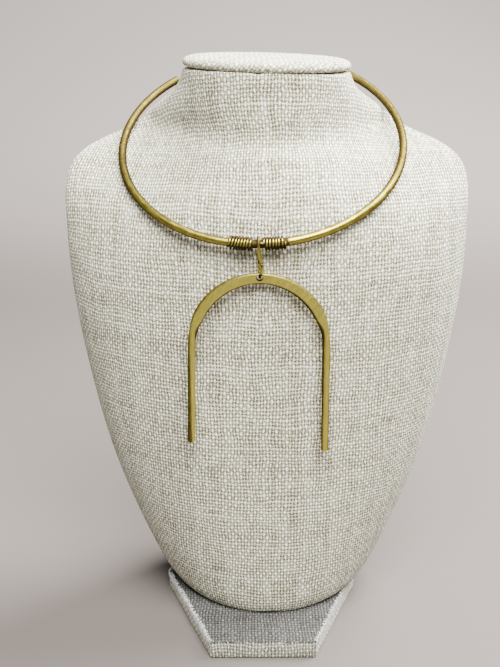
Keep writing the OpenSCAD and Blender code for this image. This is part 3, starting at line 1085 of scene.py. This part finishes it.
class NECKRING_OT_fray(bpy.types.Operator):
    """Model the short frayed threads along the plate's slanting edges"""

    bl_idname = "neckring.fray"
    bl_label = "Frayed Edges"

    def execute(self, context):
        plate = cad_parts["base_plate"]
        corners = [plate.matrix_world @ vertex.co for vertex in plate.data.vertices]
        top = max(corner.z for corner in corners)
        half_depth = max(corner.y for corner in corners)
        half_end = max(corner.x for corner in corners if corner.y > half_depth - MM)
        half_middle = max(corner.x for corner in corners)
        source = random.Random(7)
        spacing = 0.5 * MM
        strands = []
        for side, end in ((-1, -1), (1, -1), (-1, 1), (1, 1)):
            start = Vector((side * half_end, end * half_depth, top))
            along = Vector((side * half_middle, 0, top)) - start
            out = Vector((side * abs(along.y), end * abs(along.x), 0)).normalized()
            count = int(along.length / spacing)
            for k in range(count):
                foot = start + along * ((k + source.random()) / count)
                drift = along.normalized() * source.uniform(-0.9, 0.9) * MM
                rise = source.uniform(0.05, 0.4) * MM
                reach = source.uniform(0.3, 1.7) * MM
                # Up the side, over the edge and in over the top
                first = foot + out * 0.12 * MM - Vector((0, 0, source.uniform(1.0, 4.5) * MM))
                strands.append((
                    first, foot + out * source.uniform(0.1, 0.5) * MM + Vector((0, 0, 0.1 * MM)),
                    foot - out * 0.4 * reach + drift * 0.5 + Vector((0, 0, rise)),
                    foot - out * reach + drift + Vector((0, 0, 0.12 * MM))))
        piece = wires("plate_edge_fray", strands, 0.24 * MM, roundness=0)
        material, n, shader = new_material("frayed linen", 0.95)
        shade = n.span(n.noise(n.object_place(), 1.1, 2.0), 0.35, 0.65)
        n.feed(shader.inputs["Base Color"], n.mix(shade, (0.36, 0.36, 0.35, 1), (0.82, 0.83, 0.84, 1)))
        finish_piece(piece, material, STAND, "plate_linen")
        return {"FINISHED"}


class NECKRING_OT_stage(bpy.types.Operator):
    """Set up the floor, the soft light and the camera"""

    bl_idname = "neckring.stage"
    bl_label = "Stage"

    def execute(self, context):
        stage = context.scene.neckring_stage
        width, wall_height, wall_curve, below_object = 3.0, 2.2, 0.7, 0.2 * MM
        deselect()
        bpy.ops.mesh.primitive_plane_add(size=width, location=(0, 0, -below_object))
        floor = rename(context.object, "floor")
        edit_where(floor, "EDGE", lambda edge: all(end.y > 1 for end in edge_ends(floor, edge)))
        bpy.ops.mesh.extrude_region_move(TRANSFORM_OT_translate={"value": (0, 0, wall_height)})
        edit_where(floor, "EDGE", lambda edge: all(
            end.y > 1 and end.z < wall_height / 2 for end in edge_ends(floor, edge)))
        bpy.ops.mesh.bevel(offset=wall_curve, segments=24, affect="EDGES")
        leave_edit()
        make_active(floor)
        bpy.ops.object.transform_apply(location=True, rotation=True, scale=True)
        bpy.ops.object.shade_smooth()
        material, n, shader = new_material("floor cloth", 0.95)
        _, behind, _ = n.split(n.object_place())
        # The floor goes from painted shade in front to painted light where it rises behind
        floor_end, wall_start = 500, 1250
        n.feed(shader.inputs["Base Color"], n.mix(
            n.span(behind, floor_end, wall_start), (*stage.floor_shade_colour, 1), (*stage.backdrop_light_colour, 1)))
        shader.inputs["Specular IOR Level"].default_value = 0.1
        floor.data.materials.append(material)
        self.lamp("key light", (0.6, 0.34, 1.08), stage.key_power, (1.0, 0.99, 0.965))
        self.lamp("front light", (0.12, -0.55, 1.1), stage.front_power, (1.0, 0.985, 0.95))
        world = bpy.data.worlds.new("soft room")
        world.use_nodes = True
        background = world.node_tree.nodes["Background"]
        background.inputs["Color"].default_value = (1.0, 0.985, 0.97, 1)
        background.inputs["Strength"].default_value = stage.room_light
        context.scene.world = world
        bpy.ops.object.camera_add(location=stage.camera_place)
        camera = rename(context.object, "camera")
        pitch = Matrix.Rotation(math.radians(90) - stage.camera_drop, 3, "X")
        camera.rotation_euler = (pitch @ Matrix.Rotation(stage.camera_roll, 3, "Z")).to_euler()
        camera.data.lens = stage.lens
        camera.data.sensor_width = 36
        camera.data.clip_start = 0.01
        context.scene.camera = camera
        return {"FINISHED"}

    @staticmethod
    def lamp(name, place, watts, tint):
        """A soft round lamp that shines at the middle of the object."""
        width, target = 0.8, (0, 0, 0.2)
        bpy.ops.object.light_add(type="AREA", location=place)
        lamp = rename(bpy.context.object, name)
        lamp.data.shape = "DISK"
        lamp.data.size = width
        lamp.data.energy = watts
        lamp.data.color = tint
        lamp.rotation_euler = (Vector(target) - Vector(place)).to_track_quat("-Z", "Y").to_euler()


PIECE_OPERATORS = (
    NECKRING_OT_ring, NECKRING_OT_coils, NECKRING_OT_link, NECKRING_OT_pendant,
    NECKRING_OT_bust, NECKRING_OT_cap, NECKRING_OT_plate, NECKRING_OT_fray, NECKRING_OT_stage,
)


class NECKRING_PT_panel(bpy.types.Panel):
    """Lists the pieces and their settings"""

    bl_idname = "NECKRING_PT_panel"
    bl_label = "Neck Ring"
    bl_space_type = "VIEW_3D"
    bl_region_type = "UI"
    bl_category = "Neck Ring"

    def draw(self, context):
        layout = self.layout
        for operator in PIECE_OPERATORS:
            layout.operator(operator.bl_idname)
        for name, _ in SETTINGS:
            box = layout.box()
            settings = getattr(context.scene, name)
            for key in settings.bl_rna.properties.keys():
                if key not in {"rna_type", "name"}:
                    box.prop(settings, key)


SETTINGS = (
    ("neckring_ring", RingSettings), ("neckring_pendant", PendantSettings),
    ("neckring_brass", BrassSettings), ("neckring_linen", LinenSettings),
    ("neckring_stage", StageSettings),
)


def register():
    for name, settings in SETTINGS:
        bpy.utils.register_class(settings)
        setattr(bpy.types.Scene, name, bpy.props.PointerProperty(type=settings))
    for cls in (*PIECE_OPERATORS, NECKRING_PT_panel):
        bpy.utils.register_class(cls)


def unregister():
    for cls in (NECKRING_PT_panel, *reversed(PIECE_OPERATORS)):
        bpy.utils.unregister_class(cls)
    for name, settings in reversed(SETTINGS):
        delattr(bpy.types.Scene, name)
        bpy.utils.unregister_class(settings)


def main():
    register()
    bpy.ops.neckring.ring()
    bpy.ops.neckring.coils()
    bpy.ops.neckring.link()
    bpy.ops.neckring.pendant()
    bpy.ops.neckring.bust()
    bpy.ops.neckring.cap()
    bpy.ops.neckring.plate()
    bpy.ops.neckring.fray()
    bpy.ops.neckring.stage()


if __name__ == "__main__":
    main()
